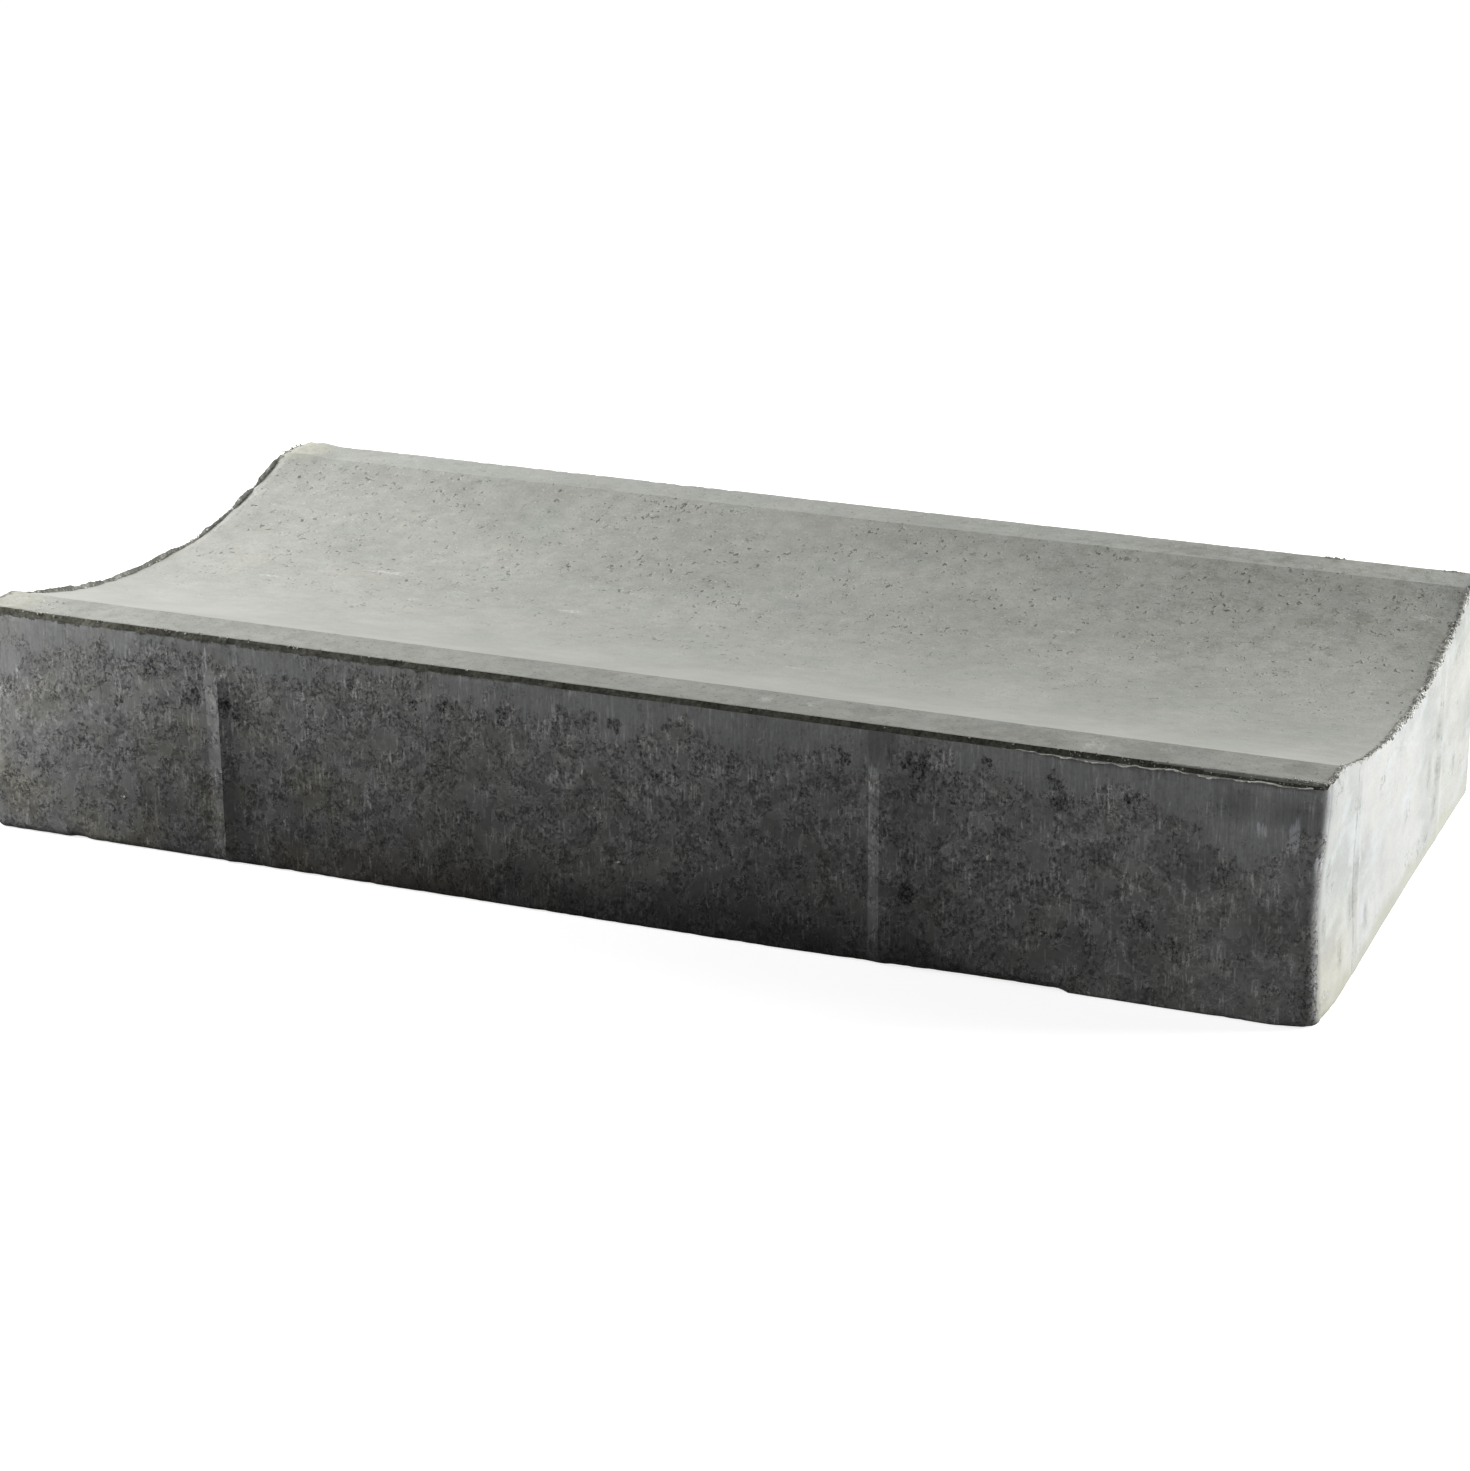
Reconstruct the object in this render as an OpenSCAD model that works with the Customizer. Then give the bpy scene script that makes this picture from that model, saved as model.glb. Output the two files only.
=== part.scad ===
// Dished concrete channel paver: a gutter block with a hollow top.
// Millimetres. Origin at the middle of the base, +X along the channel, +Z up.

/* [Block] */
// Length along the channel, between the end faces
block_length = 580; // [200:10:1200]
// Width across the channel, between the side faces
block_width = 280; // [150:5:600]
// Height at the rims
block_height = 100; // [60:5:200]
// Radius of the four upright corners
corner_r = 4; // [1:0.5:12]

/* [Channel] */
// Width of the flat rim along each side
rim_width = 23; // [12:1:50]
// Depth of the hollow below the rims, at its middle
channel_depth = 20; // [5:1:35]

/* [Rim bevel] */
// Width of the bevel, measured across the rim
bevel_width = 2; // [1:0.5:8]
// Drop of the bevel, measured down the side face
bevel_drop = 2; // [1:0.5:8]

/* [Spacer ribs] */
// Width of a rib at the face
rib_width = 12; // [8:1:20]
// How far a rib stands out from a side face
side_rib_proud = 2; // [1:0.5:3]
// How far a rib stands out from an end face
end_rib_proud = 0.5; // [0.5:0.25:3]
// Height of the slope that closes the top of a rib
rib_slope = 4; // [2:0.5:6]
// Plain face left between the rim and the top of a rib
rib_gap = 15; // [8:1:30]
// Distance of the first rib of a side face from the end of the block
side_rib_first = 111; // [60:1:200]
// Distance of the other rib of a side face from the opposite end
side_rib_second = 175; // [60:1:200]
// Distance of the first rib of an end face from the side of the block
end_rib_first = 62; // [25:1:70]
// Distance of the other rib of an end face from the opposite side
end_rib_second = 69; // [25:1:70]

/* [Hidden] */
$fn = 96;
// Overshoot of a cut past the surface it opens
cut_past = 5;
half_length = block_length / 2;
half_width = block_width / 2;
// The hollow is a true arc from rim to rim
channel_half_width = half_width - rim_width;
channel_r = (pow(channel_half_width, 2) + pow(channel_depth, 2)) / (2 * channel_depth);
rib_top = block_height - rib_gap;
// How deep a rib is sunk in the block behind its face
rib_root = 3;

// Plan of the block, with its corners rounded
module plan() {
    square([block_length - 2 * corner_r, block_width], center = true);
    square([block_length, block_width - 2 * corner_r], center = true);
    for (x = [-1, 1], y = [-1, 1])
        translate([x * (half_length - corner_r), y * (half_width - corner_r)])
            circle(r = corner_r);
}

// Round bar laid along the block, whose underside cuts the channel
module channel_cut() {
    translate([0, 0, block_height - channel_depth + channel_r])
        rotate([0, 90, 0])
            cylinder(r = channel_r, h = block_length + 2 * cut_past, center = true, $fn = 360);
}

// Long three-sided bar that takes off the outer edge of the rim on the -Y side
module bevel_cut() {
    slope = bevel_drop / bevel_width;
    rotate([90, 0, 90])
        linear_extrude(height = block_length + 2 * cut_past, center = true)
            polygon([
                [-half_width - cut_past, block_height - bevel_drop - cut_past * slope],
                [-half_width + bevel_width + cut_past, block_height + cut_past * slope],
                [-half_width - cut_past, block_height + cut_past * slope]
            ]);
}

// One spacer rib, standing on the base line of a face that looks along -Y.
// Two flanks meet in a ridge, and a slope closes the top.
module spacer_rib(proud) {
    steepness = rib_slope / proud;
    difference() {
        linear_extrude(height = rib_top)
            polygon([
                [-rib_width / 2, 0],
                [0, -proud],
                [rib_width / 2, 0],
                [rib_width / 2, rib_root],
                [-rib_width / 2, rib_root]
            ]);
        rotate([90, 0, 90])
            linear_extrude(height = rib_width + 2 * cut_past, center = true)
                polygon([
                    [0, rib_top],
                    [-proud - cut_past, rib_top - (proud + cut_past) * steepness],
                    [-proud - cut_past, rib_top + cut_past],
                    [0, rib_top + cut_past]
                ]);
    }
}

// The ribs of one side face and one end face
module ribs_of_two_faces() {
    for (x = [-half_length + side_rib_first, half_length - side_rib_second])
        translate([x, -half_width, 0]) spacer_rib(side_rib_proud);
    for (y = [-half_width + end_rib_first, half_width - end_rib_second])
        translate([half_length, y, 0]) rotate([0, 0, 90]) spacer_rib(end_rib_proud);
}

// Turned half round, the block looks the same
module both_ways() {
    children();
    rotate([0, 0, 180]) children();
}

module channel_paver() {
    color([0.52, 0.53, 0.52])
        difference() {
            union() {
                linear_extrude(height = block_height) plan();
                both_ways() ribs_of_two_faces();
            }
            channel_cut();
            both_ways() bevel_cut();
        }
}

channel_paver();
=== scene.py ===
"""Dished concrete channel paver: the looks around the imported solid. Metres throughout."""
import math
import random

import bmesh
import bpy
from mathutils import Matrix, Vector, noise


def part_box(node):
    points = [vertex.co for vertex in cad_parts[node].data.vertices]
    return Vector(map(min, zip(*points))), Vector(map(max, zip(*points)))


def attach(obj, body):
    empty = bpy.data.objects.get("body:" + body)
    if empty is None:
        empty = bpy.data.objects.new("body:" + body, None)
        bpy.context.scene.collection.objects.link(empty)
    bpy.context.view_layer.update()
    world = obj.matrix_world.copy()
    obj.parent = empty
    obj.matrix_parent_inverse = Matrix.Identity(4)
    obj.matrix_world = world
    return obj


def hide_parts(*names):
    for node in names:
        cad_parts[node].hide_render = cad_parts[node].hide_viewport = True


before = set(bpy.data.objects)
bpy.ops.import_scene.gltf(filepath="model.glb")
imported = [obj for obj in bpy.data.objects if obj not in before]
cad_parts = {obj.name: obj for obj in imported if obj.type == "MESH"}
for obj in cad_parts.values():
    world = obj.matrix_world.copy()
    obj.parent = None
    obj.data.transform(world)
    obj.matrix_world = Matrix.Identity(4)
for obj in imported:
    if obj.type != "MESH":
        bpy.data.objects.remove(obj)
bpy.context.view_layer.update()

# ---------------------------------------------------------------------------
# The block itself: one casting of stiff grey concrete, pressed into a steel
# mould from above and stripped while green. The press shoe leaves the hollow
# and the two flat rims; the mould walls leave the four sides with their ribs.
# ---------------------------------------------------------------------------
mm = 0.001
highest = Vector(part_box("channel_paver")[1])
side_rib_proud = 2 * mm
end_rib_proud = 0.5 * mm
rib_width = 12 * mm
rib_slope = 4 * mm
rib_top = 85 * mm
half_length = highest.x - end_rib_proud
half_width = highest.y - side_rib_proud
block_height = highest.z
rim_width = 23 * mm
channel_depth = 20 * mm
bevel_size = 2 * mm
corner_r = 6.5 * mm
# How much sharper two of the upright corners are near the top
corner_ease = 1.5 * mm
channel_half = half_width - rim_width
channel_r = (channel_half ** 2 + channel_depth ** 2) / (2 * channel_depth)
left, right = -half_length, half_length
front, back = -half_width, half_width
# Where each rib's ridge stands, and how far its two flanks run; one is worn to a long slope.
# Turned half round, the block looks the same.
flank_run = rib_width / 2
front_ribs = ((left + 113 * mm, 7 * mm, 5 * mm), (right - 174.8 * mm, 5.2 * mm, 26 * mm))
end_rib_near = 62 * mm
end_rib_far = 69 * mm
right_ribs = ((front + end_rib_near, flank_run, flank_run), (back - end_rib_far, flank_run, flank_run))
# A low seam where two plates of the mould met
seam_from_end = 72 * mm
seam_reach = 5 * mm
seam_proud = 0.25 * mm
# How deep the smooth field above each rib lies
field_depth = 0.2 * mm
# Painted shadow in the angle behind each rib, polish on its flat flank, and painted light on
# its other, shaded flank
rib_shadow_levels = (0.5, 0.25)
rib_polish = (0.07, 0)
rib_flank_light = (0.36, 0.08)
# Black voids in the front face: their depth, then millimetres from the left end, from the base,
# and the reach of each
void_depth = 0.35 * mm
front_voids = ((385, 88, 5), (389, 86, 5), (417, 87, 6), (420, 84, 5), (476, 88, 5), (478, 78, 4.5),
               (416, 32, 6), (311, 65, 5), (513, 32, 4.5), (525, 26, 4.5), (508, 83, 5.5), (243, 84, 6),
               (176, 89, 4), (205, 84, 5), (216, 82, 5), (292, 84, 4.5), (117, 71, 5), (120, 67, 6),
               (80, 83, 4.5), (100, 73, 5), (64, 66, 4.5), (449, 90, 4), (341, 38, 5))
# Soft dark scuffs on the end faces: from the front face, from the base, and their reach
end_scuffs = ((57, 32, 7), (61, 45, 6), (52, 30, 6), (36, 18, 5), (203, 20, 6), (206, 34, 7), (204, 52, 6),
              (190, 38, 6), (240, 26, 4), (12, 60, 5), (10, 40, 5), (78, 18, 5))
# Pale smears of laitance on the top: from the left end, from the front, and their half lengths
pale_smears = ((108, 160, 14, 2.2), (150, 147, 7, 1.6), (208, 141, 9, 2.5), (135, 131, 6, 1.5),
               (60, 138, 8, 1.6), (420, 186, 7, 1.6), (566, 232, 5, 3), (330, 100, 8, 1.2),
               (352, 13, 3, 4), (486, 12, 2, 12), (491, 12, 2, 10), (515, 16, 4, 3), (370, 14, 4, 3))
# Darker patches of the rims, in the same measures
rim_shades = ((458, 12, 24, 12), (508, 12, 11, 12), (395, 14, 10, 8), (568, 14, 8, 8), (503, 270, 18, 11),
              (450, 266, 38, 7))
# On the front face, from the left end and from the base: pale smears, a faint one along the seam,
# and dark smooth patches
front_smears = ((568.4, 78.5, 2.4, 9), (557, 79, 1.7, 5), (578, 68, 1.8, 4), (106.5, 89, 0.9, 10))
front_streaks = ((508, 58, 1.8, 36),)
front_shades = ((547, 88, 9, 7), (568, 87, 12, 7), (535, 60, 14, 9), (421, 85, 5, 9), (560, 40, 12, 10))


def smooth_step(low, high, value):
    """0 below low, 1 above high, with an easy run between them."""
    share = min(1, max(0, (value - low) / (high - low)))
    return share * share * (3 - 2 * share)


def top_height(y):
    """Height of the pressed top at a distance y across the block."""
    out = abs(y)
    if out < channel_half:
        return block_height - math.sqrt(channel_r ** 2 - out ** 2) + channel_r - channel_depth
    return block_height - max(0, out - (half_width - bevel_size))


def stations(marks):
    """Places from the first mark to the last; each mark is (place, step up to the next one)."""
    places = []
    for (start, step), (end, _) in zip(marks, marks[1:]):
        parts = max(1, round((end - start) / step))
        places += [start + (end - start) * part / parts for part in range(parts)]
    return places + [marks[-1][0]]


def both_ways(half_marks):
    """The same marks on both sides of the middle; half_marks run from the middle outwards."""
    left = [(-place, step) for place, step in reversed(half_marks)]
    steps = [step for _, step in reversed(half_marks[:-1])]
    left = [(place, step) for (place, _), step in zip(left, steps)]
    return left + half_marks


def sawn_block(parts):
    """A cube from 0 to 1, sawn into that many equal parts along X, Y and Z."""
    bm = bmesh.new()
    bmesh.ops.create_cube(bm, size=1, matrix=Matrix.Translation((0.5, 0.5, 0.5)))
    for axis, count in enumerate(parts):
        along = [e for e in bm.edges if abs(e.verts[0].co[axis] - e.verts[1].co[axis]) > 0.5]
        bmesh.ops.subdivide_edges(bm, edges=along, cuts=count - 1, use_grid_fill=True)
    return bm


def ragged(x, y, z, size, seed=0):
    """Seeded noise from about -1 to 1, with lumps of the given size."""
    return noise.noise(Vector((x / size + 17.3 * seed, y / size - 5.1 * seed, z / size + 2.7 * seed)))


def rib_reach(along, z, ribs, proud):
    """How far the ribs of a face carry a point outwards: two flanks, a sloped top and a worn foot."""
    reach = 0
    for ridge, before, after in ribs:
        flank = 1 - (ridge - along) / before if along < ridge else 1 - (along - ridge) / after
        slope = (rib_top - z) / rib_slope
        reach = max(reach, proud * min(flank, slope))
    return reach * (0.35 + 0.65 * smooth_step(0, 9 * mm, z))


# Rows of points lie close together at the ribs, the corners and the edges
(outer_ridge, outer_flank, inner_side), (inner_ridge, inner_flank, _) = front_ribs
outer_ridge = abs(outer_ridge)
x_places = stations(both_ways([
    (0, 2.2 * mm),
    (inner_ridge - inner_flank, 0.87 * mm),
    (inner_ridge, 1 * mm),
    (inner_ridge + 7 * mm, 2.2 * mm),
    (outer_ridge - inner_side, 1 * mm),
    (outer_ridge, 1 * mm),
    (outer_ridge + outer_flank, 2.2 * mm),
    (half_length - corner_r, 1.1 * mm),
    (half_length, 1),
]))
y_places = stations(both_ways([
    (0, 2 * mm),
    (half_width - end_rib_far - flank_run, 1 * mm),
    (half_width - end_rib_near + flank_run, 2 * mm),
    (channel_half, 1.8 * mm),
    (half_width - corner_r, 1 * mm),
    (half_width - bevel_size, 0.5 * mm),
    (half_width, 1),
]))
z_places = stations([
    (0, 0.7 * mm),
    (2.1 * mm, 1.3 * mm),
    (6 * mm, 2.6 * mm),
    (78 * mm, 1.4 * mm),
    (86 * mm, 2.2 * mm),
    (97 * mm, 1 * mm),
    (block_height, 1),
])
places = (x_places, y_places, z_places)
counts = [len(axis) - 1 for axis in places]

block = sawn_block(counts)
# What the points carry for the materials: broken edge with painted shade beside the end lips, laitance,
# polish and painted light on a shaded rib flank, painted shade and brown stain at the foot, dark smooth
# patch and painted shadow behind a rib, void or scuff, and pale smear
broken_edge_and_lip_shade, cream, foot_shade_and_stain, dark_patch_and_rib_shadow, scar, pale = (
    block.verts.layers.float.new(name) for name in ("broken_edge_and_lip_shade", "cream", "foot_shade_and_stain", "dark_patch_and_rib_shadow", "scar", "pale")
)


def real_top(x, y):
    """Height of the top as it came out: uneven, chipped at the ends, with pats of laitance."""
    height = top_height(y)
    end_gap = half_length - abs(x)
    height += 0.12 * mm * ragged(x, y, 0, 45 * mm, 4) + 0.07 * mm * ragged(x, y, 0, 9 * mm, 5)
    chip = max(0, ragged(x, y, 0, 5 * mm, 6)) + 0.7 * max(0, ragged(x, y, 0, 2.2 * mm, 7))
    near_end = 1 - smooth_step(0, 4.5 * mm, end_gap)
    height -= 0.9 * mm * chip * near_end
    if x < 0:
        # the far half of the left end is worn down
        height -= 1.9 * mm * smooth_step(10 * mm, 38 * mm, y) * (1 - smooth_step(0, 7 * mm, end_gap))
    height += pat(x, y) * mm * (0.9 + ragged(x, y, 0, 6 * mm, 8) + 0.5 * ragged(x, y, 0, 2 * mm, 18))
    return height, chip * near_end


def pat(x, y):
    """Where laitance was left on the rims at the left end: 1 in the middle of a pat, 0 outside."""
    side_gap = half_width - abs(y)
    inward = smooth_step(0.2 * mm, 3 * mm, side_gap) * smooth_step(30 * mm, 21 * mm, side_gap)
    return inward * smooth_step(26 * mm, 14 * mm, x + half_length) * (1 if y > 0 else 0.6)


def lower_arris(x, y):
    """Radius of the worn edge along the base at this place round the block."""
    if abs(x) > half_length - corner_r and abs(y) < half_width - corner_r:
        return 0.4 * mm + (4 * mm * smooth_step(-108 * mm, -134 * mm, y) if x > 0 else 0)
    radius = 1.5 * mm + 0.4 * mm * ragged(x, y, 0, 30 * mm, 3)
    if y < 0:
        # rubbed off towards the left end, and in one long run that ends in a sharp step
        radius += 1.8 * mm * (1 - smooth_step(-230 * mm, 60 * mm, x))
        radius += 4 * mm * smooth_step(60 * mm, 172 * mm, x) * (1 - smooth_step(189 * mm, 193 * mm, x))
        radius += 2 * mm * smooth_step(6 * mm, 2 * mm, abs(x + 250 * mm))
    radius += 4 * mm * smooth_step(272 * mm, 288 * mm, x) * smooth_step(-125 * mm, -140 * mm, y)
    return radius


def spread(x, y, z):
    """How far the green casting sagged outwards at its ends, most of all at its two front corners."""
    along_end = y * math.copysign(1, x)
    foot = 1.6 * mm * smooth_step(50 * mm, -125 * mm, along_end) * smooth_step(45 * mm, 0, z)
    crown = 1.1 * mm * smooth_step(-50 * mm, -130 * mm, y) + 1.5 * mm * smooth_step(-95 * mm, -122 * mm, y)
    crown *= smooth_step(50 * mm, 96 * mm, z) if x > 0 else 0
    heel = 3.2 * mm * smooth_step(-60 * mm, -125 * mm, y) * smooth_step(52 * mm, 8 * mm, z) if x < 0 else 0
    return math.copysign((foot + crown + heel) * smooth_step(30 * mm, 0, half_length - abs(x)), x)


def foot_shade_and_stain_at(x, y, z):
    """Painted shade along the wall foot, brown-stained to the left: heaviest right of the middle of the
    front.
    """
    reach = 17 * mm + 9 * mm * ragged(x, y, 0, 60 * mm, 9)
    front = smooth_step(-215 * mm, -60 * mm, x) * (1 - smooth_step(90 * mm, 190 * mm, x)) if y < 0 else 0.35
    return front * smooth_step(reach + 12 * mm, 0, z)


def void_share(x, z):
    """1 in the middle of a void of the front face, 0 outside all of them."""
    share = 0
    for from_left, from_base, reach in front_voids:
        gap = math.hypot((x + half_length) / mm - from_left, z / mm - from_base)
        share = max(share, 1 - gap / reach)
    return share


def scuff_share(along_end, z):
    """1 in the middle of a scuff of an end face, 0 outside all of them."""
    share = 0
    for from_front, from_base, reach in end_scuffs:
        gap = math.hypot((along_end + half_width) / mm - from_front, (z / mm - from_base) * 0.6)
        share = max(share, 1 - gap / reach)
    return share


def patch_share(patches, from_left, from_edge):
    """1 in the middle of a long patch, 0 outside all of them; places in metres from the corner."""
    share = 0
    for middle, centre, half_run, half_span in patches:
        gap = math.hypot((from_left / mm - middle) / half_run, (from_edge / mm - centre) / half_span)
        share = max(share, 1.3 - gap)
    return min(1, share)


for vert in block.verts:
    i, j, k = (round(part * count) for part, count in zip(vert.co, counts))
    x, y, z = x_places[i], y_places[j], z_places[k]
    height, chipped = real_top(x, y)
    z *= height / block_height
    on_top = k == counts[2]
    on_wall = i in (0, counts[0]) or j in (0, counts[1])
    side_gap = half_width - abs(y)
    end_gap = half_length - abs(x)
    # round the upright corners: squares about the corner's centre become circles
    round_r = corner_r - (corner_ease * smooth_step(45 * mm, 95 * mm, z) if x * y < 0 else 0)
    in_x = round_r - end_gap
    in_y = round_r - side_gap
    if in_x > 0 and in_y > 0:
        shrink = max(in_x, in_y) / math.hypot(in_x, in_y)
        outward = Vector((math.copysign(in_x, x), math.copysign(in_y, y))).normalized()
        x = math.copysign(half_length - round_r + in_x * shrink, x)
        y = math.copysign(half_width - round_r + in_y * shrink, y)
    elif in_x > in_y:
        outward = Vector((math.copysign(1, x), 0))
    else:
        outward = Vector((0, math.copysign(1, y)))
    shift = 0
    if on_wall:
        if i in (0, counts[0]):
            along_end = y * math.copysign(1, x)
            shift += rib_reach(along_end, z, right_ribs, end_rib_proud)
            vert[scar] = scuff_share(along_end, z)
        else:
            along_side = -x * math.copysign(1, y)
            shift += rib_reach(along_side, z, front_ribs, side_rib_proud)
            # each rib has a worn, paler left flank, painted light on its shaded right flank,
            # and painted shadow in the angle on its right
            for (ridge, before, _), rib_shadow_level, polish, shine in zip(front_ribs, rib_shadow_levels, rib_polish, rib_flank_light):
                past = along_side - ridge
                polish_or_flank_light = (polish if past < 0.5 * mm else shine) if -before < past < 5.5 * mm else 0
                vert[cream] = max(vert[cream], polish_or_flank_light * (z < rib_top))
                angle = rib_shadow_level * smooth_step(4 * mm, 6.5 * mm, past) * smooth_step(22 * mm, 7 * mm, past)
                vert[dark_patch_and_rib_shadow] = max(vert[dark_patch_and_rib_shadow], angle * smooth_step(rib_top + 2 * mm, rib_top - 6 * mm, z))
                field = smooth_step(before + 2 * mm, before, abs(past))
                shift -= field_depth * (field * smooth_step(rib_top - 3 * mm, rib_top, z))
            # a joint of the mould plates shows as a low seam
            seam = max(0, 1 - abs(along_side - half_length + seam_from_end) / seam_reach)
            shift += seam_proud * seam
            if y < 0:
                vert[scar] = void_share(x, z)
                vert[pale] = max(vert[pale], patch_share(front_smears, x + half_length, z),
                                 0.4 * patch_share(front_streaks, x + half_length, z))
                vert[dark_patch_and_rib_shadow] = max(vert[dark_patch_and_rib_shadow], 0.8 * patch_share(front_shades, x + half_length, z))
                shift -= void_depth * vert[scar]
        shift += 0.10 * mm * ragged(x, y, z, 25 * mm, 1) + 0.08 * mm * ragged(x, y, z, 5 * mm, 2)
        radius = lower_arris(x, y)
        if z < radius:
            shift -= radius - math.sqrt(radius ** 2 - (radius - z) ** 2)
            shift -= 0.8 * mm * max(0, ragged(x, y, z, 4 * mm, 15))
        # painted shade along the foot of the wall, with a stain
        vert[foot_shade_and_stain] = foot_shade_and_stain_at(x, y, z)
    # the bevel is torn here and there, most of all on the left half of the front
    if side_gap < bevel_size + 0.2 * mm and z > block_height - bevel_size - 1.2 * mm and (on_top or on_wall):
        gnaw = max(0, ragged(x, y, z, 3.5 * mm, 16) - 0.1) * (1.8 - 1.3 * smooth_step(-150 * mm, 50 * mm, x))
        shift -= 0.8 * mm * gnaw
        z -= 0.4 * mm * gnaw
    if on_top:
        # the ends' broken edges, darkened, with painted shade in the band beside the end lips
        ragged_gap = end_gap + 1.2 * mm * ragged(x, y, 0, 3 * mm, 17)
        vert[broken_edge_and_lip_shade] = min(1, (1 - smooth_step(1.2 * mm, 4.2 * mm, ragged_gap)) + chipped)
        if x > 0:
            vert[broken_edge_and_lip_shade] *= 1 - 0.55 * smooth_step(-20 * mm, 50 * mm, y)
        vert[cream] = pat(x, y)
        vert[pale] = patch_share(pale_smears, x + half_length, y + half_width)
        vert[dark_patch_and_rib_shadow] = patch_share(rim_shades, x + half_length, y + half_width)
    vert.co = (x + outward.x * shift + spread(x, y, z), y + outward.y * shift, z)

# The base is one flat face
base = [f for f in block.faces if all(v.co.z < 0.01 * mm for v in f.verts)]
bmesh.ops.dissolve_faces(block, faces=base)
bmesh.ops.recalc_face_normals(block, faces=block.faces)
TOP, WALL, BEVEL, END = range(4)
for face in block.faces:
    face.smooth = True
    centre = face.calc_center_median()
    if centre.z < 0.01 * mm:
        face.material_index = WALL
        face.smooth = False
    elif face.normal.z > 0.35 and centre.z > top_height(centre.y) - 1.6 * mm:
        # the torn strip of the bevel narrows towards the right end
        torn_from = half_width - bevel_size - 0.3 * mm + 1.2 * mm * smooth_step(185 * mm, 265 * mm, centre.x)
        face.material_index = BEVEL if abs(centre.y) > torn_from else TOP
    else:
        face.material_index = END if abs(face.normal.x) > 0.9 else WALL
rib_arrises = [place for ridge, before, _ in front_ribs for place in (ridge - before, ridge)]
for edge in block.edges:
    if len(edge.link_faces) == 2:
        one, other = edge.link_faces
        middle = (edge.verts[0].co + edge.verts[1].co) / 2
        along_channel = abs(abs(middle.y) - channel_half) < 0.05 * mm
        kinds = {one.material_index, other.material_index}
        alike = len(kinds) == 1 or kinds == {WALL, END}
        edge.smooth = alike and not (along_channel and kinds == {TOP})
        upright = abs(edge.verts[0].co.z - edge.verts[1].co.z) > 0.5 * mm
        if upright and kinds == {WALL} and 6 * mm < middle.z < rib_top:
            around = -middle.x * math.copysign(1, middle.y)
            edge.smooth = min(abs(around - arris) for arris in rib_arrises) > 0.05 * mm


def cast(name, bm, *finishes):
    """The finished form as a piece of that name, with its finishes in their slots."""
    mesh = bpy.data.meshes.new(name)
    bm.to_mesh(mesh)
    bm.free()
    for finish in finishes:
        mesh.materials.append(finish)
    piece = bpy.data.objects.new(name, mesh)
    bpy.context.scene.collection.objects.link(piece)
    return piece


def grow(tree, kind, inputs, output=0, **settings):
    """One node with its settings made and its inputs joined or filled; returns an output."""
    made = tree.nodes.new(kind)
    for name, value in settings.items():
        setattr(made, name, value)
    for socket, value in inputs.items():
        if isinstance(value, bpy.types.NodeSocket):
            tree.links.new(value, made.inputs[socket])
        else:
            made.inputs[socket].default_value = value
    return made.outputs[output]


def new_stone(name, roughness):
    """A bare material: its tree, its shader and the place on the block."""
    stone = bpy.data.materials.new(name)
    stone.use_nodes = True
    tree = stone.node_tree
    shader = tree.nodes["Principled BSDF"]
    shader.inputs["Roughness"].default_value = roughness
    shader.inputs["Specular IOR Level"].default_value = 0.1
    place = grow(tree, "ShaderNodeTexCoord", {}, "Object")
    return stone, tree, shader, place


def moved(place, stretch=(1, 1, 1), start=0.0):
    """The place on the block, scaled along each axis and started elsewhere in the pattern."""
    return grow(place.id_data, "ShaderNodeMapping",
                {"Vector": place, "Scale": stretch, "Location": (start,) * 3})


def on_axis(place, axis):
    """How far along X, Y or Z a place lies."""
    return grow(place.id_data, "ShaderNodeSeparateXYZ", {"Vector": place}, axis)


def cloud(place, size, detail=2.0, rough=0.5, twist=0.0):
    """Soft noise with lumps of that size."""
    return grow(place.id_data, "ShaderNodeTexNoise", {
        "Vector": place, "Scale": 1 / size, "Detail": detail, "Roughness": rough, "Distortion": twist
    }, "Fac")


def between(value, low, high, to_low=0.0, to_high=1.0):
    """The value carried from one range to another and held at its ends."""
    return grow(value.id_data, "ShaderNodeMapRange",
                {"Value": value, "From Min": low, "From Max": high, "To Min": to_low, "To Max": to_high})


def tree_of(*values):
    """The node tree of the first value that comes from a node."""
    return next(value.id_data for value in values if isinstance(value, bpy.types.NodeSocket))


def tint(amount, below, above, how="MIX"):
    """One colour over another by amount."""
    amount_in, below_in, above_in, colour_out = 0, 6, 7, 2
    return grow(tree_of(amount, below, above), "ShaderNodeMix",
                {amount_in: amount, below_in: below, above_in: above}, colour_out, data_type="RGBA",
                blend_type=how)


def stained(colour, by, amount=1.0):
    """A colour multiplied by another, or by a level, and by amount only."""
    return tint(amount, colour, by, "MULTIPLY")


def sums(operation, first, second=0.0):
    """One step of arithmetic."""
    return grow(tree_of(first, second), "ShaderNodeMath", {0: first, 1: second}, operation=operation)


def times(*values):
    """All the values multiplied together."""
    product = values[0]
    for value in values[1:]:
        product = sums("MULTIPLY", product, value)
    return product


def flakes(place, size, wander=1.6):
    """Ragged plates of that size, each with its own level from 0 to 1."""
    tree = place.id_data
    drift = grow(tree, "ShaderNodeTexNoise", {"Vector": place, "Scale": 1.6 / size, "Detail": 4.0}, "Color")
    push = grow(tree, "ShaderNodeVectorMath", {0: drift, 1: (wander * size,) * 3}, operation="MULTIPLY")
    spot = grow(tree, "ShaderNodeVectorMath", {0: place, 1: push}, operation="ADD")
    plates = grow(tree, "ShaderNodeTexVoronoi", {"Vector": spot, "Scale": 1 / size}, "Color")
    return grow(tree, "ShaderNodeSeparateColor", {"Color": plates}, "Red")


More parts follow.
